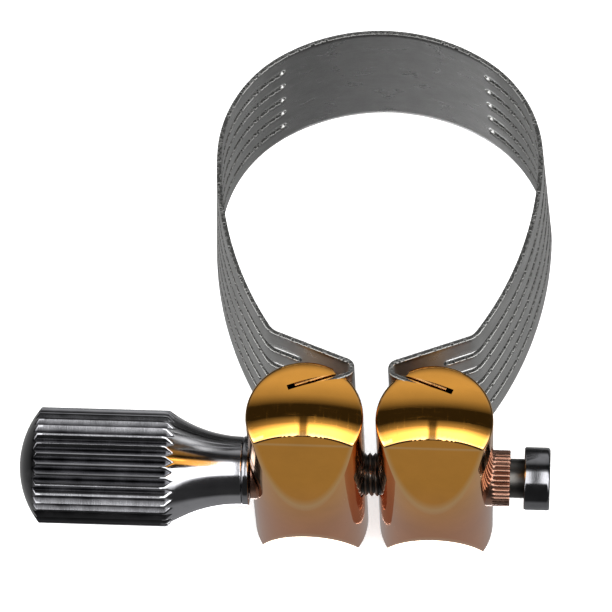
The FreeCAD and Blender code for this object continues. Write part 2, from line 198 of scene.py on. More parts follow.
class LigatureColours(bpy.types.PropertyGroup):
    """Colours of the finishes."""

    band: colour("Band", "#b4b4b2", "Satin nickel of the spring strip")
    edge: colour("Cut edge", "#9c9c9a", "Bright sheared edge of the strip")
    gold: colour("Plate", "#f0a94a", "Copper-gold plate of the posts, upper half")
    # Painted reflection: the lower half of each post is drawn in this rosier colour for what it mirrors
    # below it; the real plate is one colour.
    painted_rose_reflection: colour("Rose plate", "#d99468", "Copper-gold plate of the posts, lower half")
    bush: colour("Bush", "#a8806e", "Rose copper of the bushes")
    steel: colour("Steel", "#a09c97", "Dark steel of the threaded spindle")
    crest: colour("Nickel crest", "#b4b4b8", "Black nickel where it is rubbed bright")
    black: colour("Black nickel", "#1c1c1f", "Black nickel where it is untouched")
    floor: colour("Floor", "#f4f4f4", "Plain pale floor")


# --- shapes ------------------------------------------------------------------

def lattice(rows, columns, wrap, first):
    """Quads of a grid of points numbered row by row from first; wrap joins the last
    column to the first one."""
    row = np.arange(rows - 1)[:, None] * columns
    column = np.arange(columns if wrap else columns - 1)
    following = (column + 1) % columns
    corners = (row + column, row + following, row + columns + following, row + columns + column)
    return np.stack(corners, axis=-1).reshape(-1, 4) + first


def shell(name, grids, sharp=35):
    """Closed mesh object from a list of (points, uv, finish number, wrap) grids.

    Points that coincide are joined, open ends are filled flat, and the faces are turned
    outwards by the sign of the volume they enclose."""
    points, maps, faces, coats, first = [], [], [], [], 0
    for grid, uv, coat, wrap in grids:
        rows, columns = grid.shape[:2]
        quads = lattice(rows, columns, wrap, first)
        points.append(grid.reshape(-1, 3))
        maps.append(uv.reshape(-1, 2))
        faces.append(quads)
        coats.append(np.full(len(quads), coat))
        first += rows * columns
    points, maps, faces = np.concatenate(points), np.concatenate(maps), np.concatenate(faces)
    mesh = bpy.data.meshes.new(name)
    mesh.from_pydata(points.tolist(), [], faces.tolist())
    mesh.polygons.foreach_set("material_index", np.concatenate(coats).astype(np.int32))
    layer = mesh.uv_layers.new(name="UVMap")
    layer.data.foreach_set("uv", maps[faces.ravel()].astype(np.float32).ravel())
    work = bmesh.new()
    work.from_mesh(mesh)
    bmesh.ops.remove_doubles(work, verts=work.verts, dist=JOIN)
    bmesh.ops.dissolve_degenerate(work, edges=work.edges, dist=SLIVER)
    bmesh.ops.holes_fill(work, edges=[edge for edge in work.edges if edge.is_boundary], sides=0)
    if work.calc_volume(signed=True) < 0:
        bmesh.ops.reverse_faces(work, faces=work.faces)
    work.to_mesh(mesh)
    work.free()
    return shown(name, mesh, sharp)


def shown(name, mesh, sharp):
    """Object of a mesh, shaded smooth but for edges that turn by more than sharp degrees."""
    mesh.shade_smooth()
    mesh.set_sharp_from_angle(angle=math.radians(sharp))
    piece = bpy.data.objects.new(name, mesh)
    bpy.context.scene.collection.objects.link(piece)
    return piece


def coordinates(piece):
    """Points of a piece as an array of rows x, y, z."""
    flat = np.zeros(len(piece.data.vertices) * 3)
    piece.data.vertices.foreach_get("co", flat)
    return flat.reshape(-1, 3)


def about_axis(piece):
    """Points of a piece and how far each one is from the screw axis."""
    place = coordinates(piece)
    return place, np.hypot(place[:, 1] - POST_Y, place[:, 2] - SCREW_Z)


def round_of(box):
    """Radius of a turned piece: half the height of its box."""
    return (box[1][2] - box[0][2]) / 2


def mark_wear(piece, wear):
    """Keep how rubbed each point is, 0 to 1, for the finish to read."""
    layer = piece.data.attributes.new("wear", "FLOAT", "POINT")
    layer.data.foreach_set("value", np.clip(wear, 0, 1).astype(np.float32))


def soft_least(a, b, rounding):
    """The lesser of a and b with the corner rounded: the lesser, minus a quarter of the
    rounding times the square of how near the two are, as a share of the rounding."""
    near = np.clip(1 - np.abs(a - b) / rounding, 0, 1)
    return np.minimum(a, b) - near**2 * rounding / 4


def runs(*stretches):
    """Places along a line, from stretches of (start, end, count) that follow each other."""
    return np.unique(np.concatenate([np.linspace(a, b, n + 1) for a, b, n in stretches]).round(9))


def turned(name, path, count, wave=None, sharp=35):
    """Piece turned about the screw axis: a path of rows (x, radius) carried round the axis.

    Each point is at x, with its radius times cosine and sine of the angle added to the
    axis. wave(x, radius, angle) may change the radius, as a knurl or a thread does."""
    angle = np.arange(count) * 2 * math.pi / count
    x = np.repeat(path[:, :1], count, axis=1)
    radius = np.repeat(path[:, 1:], count, axis=1)
    if wave is not None:
        radius = wave(x, radius, angle[None, :])
    points = np.stack([x, POST_Y + radius * np.cos(angle), SCREW_Z + radius * np.sin(angle)], -1)
    along = np.cumsum(np.r_[0, np.hypot(*np.diff(path, axis=0).T)])
    uv = np.stack(np.broadcast_arrays(along[:, None], angle[None, :] * path[:, 1].max()), -1) / MM
    return shell(name, [(points, uv, 0, True)], sharp)


def corner(x, radius, across, up, size, steps=4):
    """Quarter-round corner of a turned path, from the face at x to the side at radius;
    across and up are the signs that lead away from the metal."""
    bow = np.linspace(0, math.pi / 2, steps + 1)
    return np.stack(
        [x + across * size * (np.cos(bow) - 1), radius + up * size * (np.sin(bow) - 1)], -1
    )


# --- band --------------------------------------------------------------------

def chain(sizes, growth):
    """Lengths, turns, start point and start heading of the runs of one rim's right half:
    lip, fold, shelf, bend, flank, shoulder and half of the plate.

    The shelf is as long as it takes for the plate to end on the middle plane."""
    lip, shelf = sizes.lip_slope, sizes.shelf_slope
    spread = math.radians(90) - sizes.flank_angle - shelf
    shoulder = math.radians(90) - sizes.plate_angle
    rise = sizes.lip_offset + sizes.fold_radius
    reach = math.sqrt((sizes.post_radius + sizes.fold_standoff) ** 2 - rise**2)
    turns = np.array([
        0, shelf + lip - math.pi, 0, spread, sizes.flank_angle, shoulder, sizes.plate_angle,
    ])
    radii = np.array([
        0, sizes.fold_radius, 0, sizes.bend_radius,
        sizes.flank_radius * growth, sizes.shoulder_radius * growth, sizes.plate_radius * growth,
    ])
    lengths = np.abs(turns) * radii
    lengths[0] = sizes.lip_tip + reach
    along = np.array([math.cos(-lip), math.sin(-lip)])
    across = np.array([math.sin(lip), math.cos(lip)])
    start = np.array([POST_X, POST_Y]) + along * sizes.lip_tip + across * sizes.lip_offset
    headings = math.pi - lip + np.r_[0, np.cumsum(turns)]
    chords = lengths * np.sinc(turns / 2 / math.pi)
    middles = headings[:-1] + turns / 2
    lengths[2] = -(start[0] + np.sum(chords * np.cos(middles))) / math.cos(shelf)
    return lengths, turns, start, headings


def along_chain(parts, place):
    """Points and headings at places along a chain: the whole part of a place is the run,
    the rest the share of it. A run that turns evenly moves by its chord, which is its
    length times sine of half its turn over half its turn, along its middle heading."""
    lengths, turns, start, headings = parts
    chords = lengths * np.sinc(turns / 2 / math.pi)
    middles = headings[:-1] + turns / 2
    steps = np.stack([chords * np.cos(middles), chords * np.sin(middles)], -1)
    corners = start + np.r_[np.zeros((1, 2)), np.cumsum(steps, axis=0)]
    run = np.clip(np.floor(place).astype(int), 0, len(lengths) - 1)
    share = place - run
    half = turns[run] * share / 2
    chord = lengths[run] * share * np.sinc(half / math.pi)
    course = headings[run] + half
    point = corners[run] + chord[..., None] * np.stack([np.cos(course), np.sin(course)], -1)
    return point, headings[run] + 2 * half


def band_half(sizes, name, side):
    """Half of the band, from the end of its lip to the middle of the plate.

    A point is (distance along the strip, height, offset from its middle): the ruled
    surface between the two rims, moved along the normal of the strip. The strip has two
    faces on a grid whose lines close on each slot, which widens from a point to its full
    gap as a circle does, and every cut edge is a rounded profile carried along it."""
    narrow, wide = chain(sizes, 1.0), chain(sizes, sizes.growth)
    knots = np.r_[0, np.cumsum((narrow[0] + wide[0]) / 2)]
    half_width, half = sizes.width / 2, sizes.thickness / 2
    edge = sizes.edge_round

    def place(distance, height, offset):
        """The point on the narrow rim and the one on the wide rim, mixed by the height,
        plus the offset times the normal, which is the heading turned by 90 degrees."""
        at = np.interp(distance, knots, np.arange(len(knots)))
        upper, heading = along_chain(narrow, at)
        lower, _ = along_chain(wide, at)
        share = ((half_width - height) / (2 * half_width))[..., None]
        out = np.stack([np.sin(heading), -np.cos(heading)], -1) * offset[..., None]
        flat = upper * (1 - share) + lower * share + out
        return np.stack([side * flat[..., 0], flat[..., 1], height], -1)

    hole = sizes.slot_gap / 2 + edge
    first = knots[2] + sizes.web - edge + hole
    last = knots[6] + edge - hole
    sweep = hole * np.cos(np.linspace(0, math.pi / 2, 10))
    distance = np.unique(np.concatenate([
        runs((0, knots[1], 14), (knots[1], knots[2], 20), (knots[2], first - hole, 14)),
        first - sweep,
        runs(
            (first, knots[3], 14), (knots[3], knots[4], 10), (knots[4], knots[5], 60),
            (knots[5], last, 44),
        ),
        last + sweep,
        runs((last + hole, knots[7], 40)),
    ]).round(9))
    inner = np.clip(np.minimum(distance - first, 0) + np.maximum(distance - last, 0), -hole, hole)
    opening = np.sqrt(hole**2 - inner**2)
    opening[(distance <= first - hole) | (distance >= last + hole)] = 0
    pitch = sizes.width / (sizes.slots + 1)
    lines = half_width - pitch * np.arange(sizes.slots + 2)
    grids = []
    for strip in range(sizes.slots + 1):
        top = lines[strip] - (edge if strip == 0 else opening)
        foot = lines[strip + 1] + (edge if strip == sizes.slots else opening)
        share = np.linspace(0, 1, 6)[:, None]
        height = top + (foot - top) * share
        span = np.broadcast_to(distance, height.shape)
        for offset in (half, -half):
            uv = np.stack([span, height], -1) / MM
            grid = place(span, height, np.full(height.shape, offset))
            coat, order = (0, slice(None)) if offset > 0 else (2, slice(None, None, -1))
            grids.append((grid[order], uv[order], coat, False))
    bow = np.linspace(0, math.pi / 2, 4)
    inwards = np.r_[edge * np.sin(bow), edge * np.sin(bow)[::-1]][:, None]
    depth = np.r_[half - edge * (1 - np.cos(bow)), -(half - edge * (1 - np.cos(bow)))[::-1]][:, None]
    inside = (distance >= first - hole) & (distance <= last + hole)
    flat = np.ones_like(distance)
    borders = [
        (distance, lines[0] - edge, 0 * flat, flat, 1),
        (distance, lines[-1] + edge, 0 * flat, -flat, -1),
    ]
    for line in lines[1:-1]:
        for way in (1, -1):
            lean = inner[inside] / hole
            borders.append((
                distance[inside], line + way * opening[inside],
                -lean, -way * opening[inside] / hole, -way,
            ))
    for at, height, step, rise, way in borders:
        span = at + step * inwards
        level = height + rise * inwards
        offset = np.broadcast_to(depth, span.shape)
        grid = place(span, np.broadcast_to(level, span.shape), offset)
        uv = np.stack([span, np.broadcast_to(offset, span.shape)], -1) / MM
        order = slice(None, None, -way)
        grids.append((grid[order], uv[order], 1, False))
    return shell(name, grids, 30)


# --- posts -------------------------------------------------------------------

def post_radius_at(sizes, angle, level):
    """Radius of a post at an angle from its front and a level above the screw axis.

    It is the least of three radii with rounded corners between them: the round of the
    post, the sphere of the dome at either end, and the flat facet, which is a plane at
    a distance that falls evenly with the level, so its radius is that distance over the
    cosine of the angle. Returned with it: how near the two least are."""
    above = POST_BOX[1][2] - SCREW_Z - sizes.dome_rise
    below = SCREW_Z - POST_BOX[0][2] - sizes.dome_rise
    sphere = (sizes.post_radius**2 + sizes.dome_rise**2) / (2 * sizes.dome_rise)
    over = np.maximum(level - above, -level - below) + sphere - sizes.dome_rise
    dome = np.sqrt(np.maximum(sphere**2 - np.maximum(over, 0) ** 2, 0))
    side = sizes.post_radius
    cut = np.maximum(level - above, -level - below) + sizes.facet_length
    plane = side - sizes.facet_depth / sizes.facet_length * cut
    out_of_reach = 9 * side
    facing = np.cos(angle)
    facet = np.where(facing > NEVER_FACET, plane / np.maximum(facing, NEVER_FACET), out_of_reach)
    body = soft_least(np.full_like(dome, side), dome, sizes.ridge_round * 2)
    ridge = np.abs(body - facet)
    rim = np.abs(side - dome)
    return soft_least(body, facet, sizes.ridge_round * 2), np.minimum(ridge, rim)


def cutter(outline, x, y, start, end):
    """Upright prism for cutting: the outline, moved to (x, y) and carried up z from
    start to end."""
    rows = np.array([start, end])[:, None]
    grid = np.stack(np.broadcast_arrays(x + outline[:, 0], y + outline[:, 1], rows), -1)
    return shell("Cutter", [(grid, grid[..., :2], 0, True)])


def cut_away(piece, tools):
    """Take the tools from the piece, each with an exact Boolean, and keep the result."""
    for tool in tools:
        step = piece.modifiers.new("Cut", "BOOLEAN")
        step.operation, step.solver, step.object = "DIFFERENCE", "EXACT", tool
    bpy.context.view_layer.update()
    result = bpy.data.meshes.new_from_object(piece.evaluated_get(bpy.context.evaluated_depsgraph_get()))
    piece.modifiers.clear()
    piece.data = result
    for tool in tools:
        bpy.data.objects.remove(tool)


def post(sizes, name, side):
    """Round post, domed and faceted at both ends, slit for the lip of the band and bored
    for the screw; side is -1 at the knob and 1 at the end cap."""
    x, low, high = side * POST_X, POST_BOX[0][2] - SCREW_Z, POST_BOX[1][2] - SCREW_Z
    radius, dome = sizes.post_radius, sizes.dome_rise
    angle = np.arange(288) * 2 * math.pi / 288
    bow = np.sin(np.linspace(0, math.pi / 2, 26))
    rim = dome + sizes.ridge_round * 2  # the rows are closer together over each dome
    level = np.unique(np.concatenate([
        low + rim * (1 - bow), runs((low + rim, high - rim, 190)), high - rim * (1 - bow),
    ]).round(9))[:, None]
    level = np.broadcast_to(level, (len(level), len(angle)))
    reach, _ = post_radius_at(sizes, np.broadcast_to(angle, level.shape), level)
    reach[[0, -1]] = 0
    grid = np.stack([x + reach * np.sin(angle), POST_Y - reach * np.cos(angle), SCREW_Z + level], -1)
    uv = np.stack(np.broadcast_arrays(angle * radius, level), -1) / MM
    body = shell(name, [(grid, uv, 0, True)])

    along = np.array([side * math.cos(sizes.lip_slope), -math.sin(sizes.lip_slope)])
    across = np.array([side * math.sin(sizes.lip_slope), math.cos(sizes.lip_slope)])
    half = sizes.thickness / 2 + sizes.lip_room
    end = sizes.lip_tip + sizes.tip_room
    slit = np.array([[end, -half], [end, half], [-2 * radius, half], [-2 * radius, -half]])
    slit = slit[:, :1] * along + (slit[:, 1:] + sizes.lip_offset) * across
    rise = sizes.lip_offset + sizes.fold_radius
    fold = -math.sqrt((radius + sizes.fold_standoff) ** 2 - rise**2) * along + rise * across
    turn = np.linspace(0, 2 * math.pi, 48, endpoint=False)
    relief = fold + (sizes.fold_radius + half) * np.stack([np.cos(turn), np.sin(turn)], -1)
    through = (SCREW_Z + 2 * low, SCREW_Z + 2 * high)
    tools = [cutter(line, x, POST_Y, *through) for line in (slit, relief)]
    bush = BUSH_BOX if side > 0 else PLAIN_BOX
    seat = bush[0][0] if side > 0 else -bush[1][0]
    wide = round_of(PLAIN_BOX) + PRESS_ROOM
    path = np.array([
        [x - side * 2 * radius, sizes.bore], [side * seat, sizes.bore],
        [side * seat, wide], [x + side * 2 * radius, wide],
    ])
    tools.append(turned("Cutter", path, 72))
    cut_away(body, tools)
    body.data.shade_smooth()
    body.data.set_sharp_from_angle(angle=math.radians(32))
    place = coordinates(body)
    way = np.arctan2(place[:, 0] - x, POST_Y - place[:, 1])
    _, near = post_radius_at(sizes, way, place[:, 2] - SCREW_Z)
    mark_wear(body, 1 - near / RUBBED)
    return body


# --- turned pieces -----------------------------------------------------------

def fluted(path_radius, root, count, depth, x_start, x_end):
    """Wave for turned(): V grooves that open at 45 degrees to each side. At an angle, a
    groove's radius is its root plus the distance along the round to the middle of the
    nearest groove, and the piece keeps the lesser of that and its own radius."""
    def wave(x, radius, angle):
        """The lesser, with a rounded corner, of the radius and the groove's own."""
        turn = 2 * math.pi / count
        aside = np.abs((angle / turn + 0.5) % 1 - 0.5) * turn * path_radius
        groove = root + aside
        inside = (x >= x_start) & (x <= x_end)
        return np.where(inside, soft_least(radius, groove + 0 * x, 0.12 * depth), radius)
    return wave


def spindle(sizes):
    """Threaded spindle: its radius falls from the crests by a rounded V of 60 degrees,
    whose place moves along by one pitch a turn, and it ends in a plain neck."""
    start, end = SPINDLE_BOX[0][0], SPINDLE_BOX[1][0]
    neck = BUSH_BOX[1][0] - 0.02 * MM
    bevel, steps = 0.2 * MM, 640
    path = np.concatenate([
        [[start, 0], [start, sizes.thread_radius - bevel]],
        np.stack([runs((start + bevel, neck - bevel, steps)), np.full(steps + 1, sizes.thread_radius)], -1),
        [[neck, sizes.neck_radius], [end - bevel, sizes.neck_radius]],
        [[end, sizes.neck_radius - bevel], [end, 0]],
    ])
    depth = 0.54 * sizes.pitch

    def thread(x, radius, angle):
        """The radius less the fall of the thread, which fades out near both ends."""
        phase = ((x / sizes.pitch) - angle / (2 * math.pi)) % 1
        fall = np.clip(np.abs(phase - 0.5) * 2 * 1.15 - 0.06, 0, 1) * depth
        run = np.clip((x - start) / (2 * bevel), 0, 1) * np.clip((neck - x) / (2 * bevel), 0, 1)
        return np.where(radius > sizes.neck_radius + PRESS_ROOM, radius - fall * run, radius)
    piece = turned("threaded_spindle", path, 36, thread, sharp=50)
    place, reach = about_axis(piece)
    mark_wear(piece, 1 - (sizes.thread_radius - reach) / depth * 1.4)
    return piece


def knob(sizes):
    """Thumb knob: a shallow dome, a knurled grip and a concave neck, turned, with V
    grooves that run out on the dome and on the neck; bored for the spindle."""
    start, end = KNOB_BOX[0][0], KNOB_BOX[1][0]
    top = round_of(KNOB_BOX)
    sphere = (top**2 + sizes.knob_dome**2) / (2 * sizes.knob_dome)
    rise = sizes.knob_dome * np.sin(np.linspace(0, math.pi / 2, 26)) ** 2
    dome = np.stack([start + rise, np.sqrt(np.maximum(sphere**2 - (sphere - rise) ** 2, 0))], -1)
    grip = start + sizes.knob_dome + sizes.knob_grip
    bow = np.linspace(0, 1, 50)
    drop, flare = top - sizes.knob_neck, end - grip
    ring = (flare**2 + drop**2) / (2 * drop)
    neck_x = grip + flare * bow
    neck_r = sizes.knob_neck + ring - np.sqrt(ring**2 - (end - neck_x) ** 2)
    deep = SPINDLE_BOX[0][0] - PRESS_ROOM
    hole, chamfer = sizes.thread_radius + PRESS_ROOM, 0.05 * MM
    path = np.concatenate([
        dome,
        np.stack([np.linspace(start + sizes.knob_dome, grip, 24)[1:], np.full(23, top)], -1),
        np.stack([neck_x, neck_r], -1)[1:-1],
        corner(end, sizes.knob_neck, 1, 1, 0.12 * MM)[::-1],
        [[end, hole + chamfer], [end - chamfer, hole], [deep, hole], [deep, 0]],
    ])
    wave = fluted(top, top - sizes.flute, sizes.flutes, sizes.flute, start, end - 0.2 * MM)

    def grooves(x, radius, angle):
        """Only the outside is grooved, not the bore."""
        return np.where(radius > hole * 1.2, wave(x, radius, angle), radius)
    piece = turned("knurled_thumb_knob", path, sizes.flutes * 12, grooves, sharp=38)
    place, reach = about_axis(piece)
    middle = np.clip((place[:, 0] - start) / (grip - start), 0, 1)
    crest = (reach - (top - sizes.flute)) / sizes.flute
    mark_wear(piece, np.where(place[:, 0] < grip, crest, 1) * (0.6 + 0.4 * middle))
    return piece


def bush(sizes, name, box, knurled):
    """Bush with rounded ends; the knurled one has V grooves where it stands out."""
    start, end = box[0][0], box[1][0]
    top = round_of(PLAIN_BOX)
    hole = sizes.thread_radius + RUN_ROOM
    bevel = 0.1 * MM
    outer = end if knurled else start
    middle = np.linspace(start + bevel, end - bevel, 30)[1:-1]
    path = np.concatenate([
        [[start, hole], [start, top - bevel]],
        corner(start, top, -1, 1, bevel)[1:],
        np.stack([middle, np.full(28, top)], -1),
        corner(end, top, 1, 1, bevel)[::-1],
        [[end, hole + bevel], [end - bevel, hole]],
    ])
    path = np.concatenate([path, path[:1]])
    shown_from = POST_X + sizes.post_radius
    wave = fluted(top, top - sizes.bush_tooth, sizes.bush_teeth, sizes.bush_tooth, shown_from, end)

    def grooves(x, radius, angle):
        """Only the outside is grooved, not the bore."""
        return np.where(radius > hole * 1.15, wave(x, radius, angle), radius)
    piece = turned(name, path, sizes.bush_teeth * 8, grooves if knurled else None)
    place, reach = about_axis(piece)
    rim = np.abs(place[:, 0] - outer) < bevel
    mark_wear(piece, 1 - (top - reach) / sizes.bush_tooth + rim * 0.5)
    return piece


def washer(sizes):
    """Thrust washer: a flat ring with rounded rims, bored for the spindle."""
    start, end = WASHER_BOX[0][0], WASHER_BOX[1][0]
    top = round_of(WASHER_BOX)
    hole, bevel = sizes.thread_radius + RUN_ROOM, 0.14 * MM
    path = np.concatenate([
        [[start, hole]], corner(start, top, -1, 1, bevel),
        corner(end, top, 1, 1, bevel)[::-1], [[end, hole]],
    ])
    piece = turned("washer_ring", np.concatenate([path, path[:1]]), 96)
    mark_wear(piece, np.full(len(piece.data.vertices), 0.6))
    return piece


def end_cap(sizes):
    """End cap: a plain round cap with rounded rims and a slightly raised end face,
    bored for the neck of the spindle."""
    start, end = CAP_BOX[0][0], CAP_BOX[1][0]
    top = round_of(CAP_BOX)
    bevel, hole = 0.3 * MM, sizes.neck_radius + PRESS_ROOM
    deep = SPINDLE_BOX[1][0] + PRESS_ROOM
    path = np.concatenate([
        [[deep, 0], [deep, hole], [start, hole]],
        corner(start, top, -1, 1, bevel * 0.6), corner(end, top, 1, 1, bevel, 6)[::-1],
        [[end, 0]],
    ])
    piece = turned("screw_end_cap", path, 96)
    mark_wear(piece, np.full(len(piece.data.vertices), 0.5))
    return piece


# --- finishes ----------------------------------------------------------------

def node(tree, kind, settings=None, **links):
    """Add a node with its settings; links name an input and give its value or the
    output that feeds it. An input without a name of its own is i and its number."""
    made = tree.nodes.new(kind)
    for key, value in (settings or {}).items():
        setattr(made, key, value)
    for key, value in links.items():
        wanted = key.replace("_", " ")
        socket = next((s for s in made.inputs if s.name == wanted and s.enabled), None)
        if socket is None:
            socket = made.inputs[int(key[1:])]
        if isinstance(value, bpy.types.NodeSocket):
            tree.links.new(value, socket)
        else:
            socket.default_value = value
    return made


def metal(name, roughness):
    """Material with a bare metallic shader; the finish's own nodes are added to it."""
    material = bpy.data.materials.new(name)
    material.use_nodes = True
    shader = material.node_tree.nodes["Principled BSDF"]
    shader.inputs["Metallic"].default_value = 1
    shader.inputs["Roughness"].default_value = roughness
    return material, material.node_tree, shader


def with_alpha(rgb):
    """A colour with a fourth channel of 1, as the sockets want it."""
    return (*rgb, 1.0)


def copper_gold_plate(colours):
    """Copper-gold electroplate over brass, buffed to a mirror. Buffing leaves hairlines
    a few hundredths of a millimetre wide, drawn about 0.1 mm here so that they show;
    handling dulls it in soft patches some 4 mm across, and the ridges are rubbed paler.
    The colour goes from gold above the screw to a rosier colour below it over 12 mm of height: a painted
    reflection, as the real plate is one colour."""
    material, tree, shader = metal("mirror_copper_gold", 0.07)
    place = node(tree, "ShaderNodeTexCoord").outputs["Object"]
    height = node(tree, "ShaderNodeSeparateXYZ", i0=place).outputs["Z"]
    # Painted reflection: low is 1 below the screw and 0 above it, and mixes the gold towards the rosier
    # colour that stands for the mirrored surroundings.
    low = node(
        tree, "ShaderNodeMapRange", {"interpolation_type": "SMOOTHSTEP"},
        Value=height, From_Min=-0.006, From_Max=0.006, To_Min=1.0, To_Max=0.0,
    )
    tint = node(tree, "ShaderNodeMix", {"data_type": "RGBA"}, i0=low.outputs[0])
    tint.inputs[6].default_value = with_alpha(colours.gold)
    tint.inputs[7].default_value = with_alpha(colours.painted_rose_reflection)
    cloud = node(tree, "ShaderNodeTexNoise", Vector=place, Scale=260.0, Detail=4.0, Roughness=0.6)
    shade = node(
        tree, "ShaderNodeMapRange", Value=cloud.outputs[0],
        From_Min=0.3, From_Max=0.7, To_Min=0.93, To_Max=1.04,
    )
    tone = node(
        tree, "ShaderNodeVectorMath", {"operation": "SCALE"}, i0=tint.outputs[2], Scale=shade.outputs[0],
    )
    worn = node(tree, "ShaderNodeAttribute", {"attribute_name": "wear"})
    pale = node(tree, "ShaderNodeMix", {"data_type": "RGBA"}, i6=tone.outputs[0])
    # In this finish the value is only the wear of the ridges, with no painted shade.
    rubbed_and_painted_shade = node(tree, "ShaderNodeMath", {"operation": "MULTIPLY"}, i0=worn.outputs["Fac"], i1=0.35)
    tree.links.new(rubbed_and_painted_shade.outputs[0], pale.inputs[0])
    pale.inputs[7].default_value = (0.95, 0.80, 0.50, 1)
    tree.links.new(pale.outputs[2], shader.inputs["Base Color"])
    hair_place = node(
        tree, "ShaderNodeMapping", Vector=place, Rotation=(0.2, 0.5, 0.9), Scale=(9000, 500, 500),
    )
    hair = node(tree, "ShaderNodeTexNoise", Vector=hair_place.outputs[0], Scale=1.0, Detail=2.0)
    cross_place = node(
        tree, "ShaderNodeMapping", Vector=place, Rotation=(1.1, 0.1, -0.6), Scale=(400, 8000, 400),
    )
    cross = node(tree, "ShaderNodeTexNoise", Vector=cross_place.outputs[0], Scale=1.0, Detail=2.0)
    lines = node(tree, "ShaderNodeMath", {"operation": "MAXIMUM"}, i0=hair.outputs[0], i1=cross.outputs[0])
    scratch = node(
        tree, "ShaderNodeMapRange", Value=lines.outputs[0],
        From_Min=0.60, From_Max=0.72, To_Min=0.0, To_Max=1.0,
    )
    dull = node(
        tree, "ShaderNodeMapRange", Value=cloud.outputs[0],
        From_Min=0.35, From_Max=0.75, To_Min=0.03, To_Max=0.085,
    )
    rough = node(
        tree, "ShaderNodeMath", {"operation": "MULTIPLY_ADD"},
        i0=scratch.outputs[0], i1=0.12, i2=dull.outputs[0],
    )
    tree.links.new(rough.outputs[0], shader.inputs["Roughness"])
    bump = node(tree, "ShaderNodeBump", Strength=0.05, Distance=0.00002, Height=lines.outputs[0])
    tree.links.new(bump.outputs[0], shader.inputs["Normal"])
    return material


def satin_nickel(name, tone, darkest, plate):
    """Nickel-plated spring steel, rolled and satin: lines about 0.05 mm apart run along
    the strip, broken by faint stains; drawn twice as coarse so that they show. From 36
    to 50 mm along the strip the colour falls to the share plate of itself. A low share
    is darker than bare nickel: it stands for a dark room that the plate would mirror."""
    material, tree, shader = metal(name, 0.3)
    uv = node(tree, "ShaderNodeUVMap", {"uv_map": "UVMap"}).outputs[0]
    streak_place = node(tree, "ShaderNodeMapping", Vector=uv, Scale=(0.35, 9.0, 1.0))
    streak = node(
        tree, "ShaderNodeTexNoise", Vector=streak_place.outputs[0], Scale=1.0, Detail=5.0, Roughness=0.65,
    )
    stain = node(tree, "ShaderNodeTexNoise", Vector=uv, Scale=0.35, Detail=5.0, Roughness=0.6)
    grit = node(tree, "ShaderNodeTexNoise", Vector=uv, Scale=9.0, Detail=2.0)
    mixed = node(
        tree, "ShaderNodeMath", {"operation": "MULTIPLY_ADD"},
        i0=streak.outputs[0], i1=0.5, i2=stain.outputs[0],
    )
    shade = node(
        tree, "ShaderNodeMapRange", Value=mixed.outputs[0],
        From_Min=0.5, From_Max=1.0, To_Min=darkest, To_Max=1.08,
    )
    along = node(tree, "ShaderNodeSeparateXYZ", i0=uv).outputs["X"]
    # Painted shade: over the plate the colour falls to the share plate of itself, for the dark room the
    # plate would mirror; it is not wear.
    rubbed_and_painted_shade = node(
        tree, "ShaderNodeMapRange", {"interpolation_type": "SMOOTHSTEP"},
        Value=along, From_Min=36.0, From_Max=50.0, To_Min=1.0, To_Max=plate,
    )
    both = node(tree, "ShaderNodeMath", {"operation": "MULTIPLY"}, i0=shade.outputs[0], i1=rubbed_and_painted_shade.outputs[0])
    tint = node(tree, "ShaderNodeVectorMath", {"operation": "SCALE"}, i0=tuple(tone), Scale=both.outputs[0])
    tree.links.new(tint.outputs[0], shader.inputs["Base Color"])
    rough = node(
        tree, "ShaderNodeMapRange", Value=mixed.outputs[0],
        From_Min=0.5, From_Max=1.0, To_Min=0.36, To_Max=0.24,
    )
    tree.links.new(rough.outputs[0], shader.inputs["Roughness"])
    height = node(
        tree, "ShaderNodeMath", {"operation": "MULTIPLY_ADD"},
        i0=grit.outputs[0], i1=0.35, i2=streak.outputs[0],
    )
    bump = node(tree, "ShaderNodeBump", Strength=0.25, Distance=0.00003, Height=height.outputs[0])
    tree.links.new(bump.outputs[0], shader.inputs["Normal"])
    return material


def sheared_edge(colours):
    """Sheared edge of the strip, bare and bright, with the burrs and nicks that the shear
    leaves about every 0.4 mm."""
    material, tree, shader = metal("sheared_edge", 0.3)
    uv = node(tree, "ShaderNodeUVMap", {"uv_map": "UVMap"}).outputs[0]
    ticks = node(tree, "ShaderNodeMapping", Vector=uv, Scale=(2.6, 2.2, 1.0))
    cells = node(tree, "ShaderNodeTexVoronoi", Vector=ticks.outputs[0], Scale=1.0, Randomness=0.75)
    nick = node(
        tree, "ShaderNodeMapRange", Value=cells.outputs[0],
        From_Min=0.22, From_Max=0.42, To_Min=0.12, To_Max=1.0,
    )
    tint = node(
        tree, "ShaderNodeVectorMath", {"operation": "SCALE"}, i0=tuple(colours.edge), Scale=nick.outputs[0],
    )
    tree.links.new(tint.outputs[0], shader.inputs["Base Color"])
    rough = node(
        tree, "ShaderNodeMapRange", Value=cells.outputs[0],
        From_Min=0.1, From_Max=0.6, To_Min=0.55, To_Max=0.25,
    )
    tree.links.new(rough.outputs[0], shader.inputs["Roughness"])
    bump = node(tree, "ShaderNodeBump", Strength=0.4, Distance=0.00005, Height=nick.outputs[0])
    tree.links.new(bump.outputs[0], shader.inputs["Normal"])
    return material


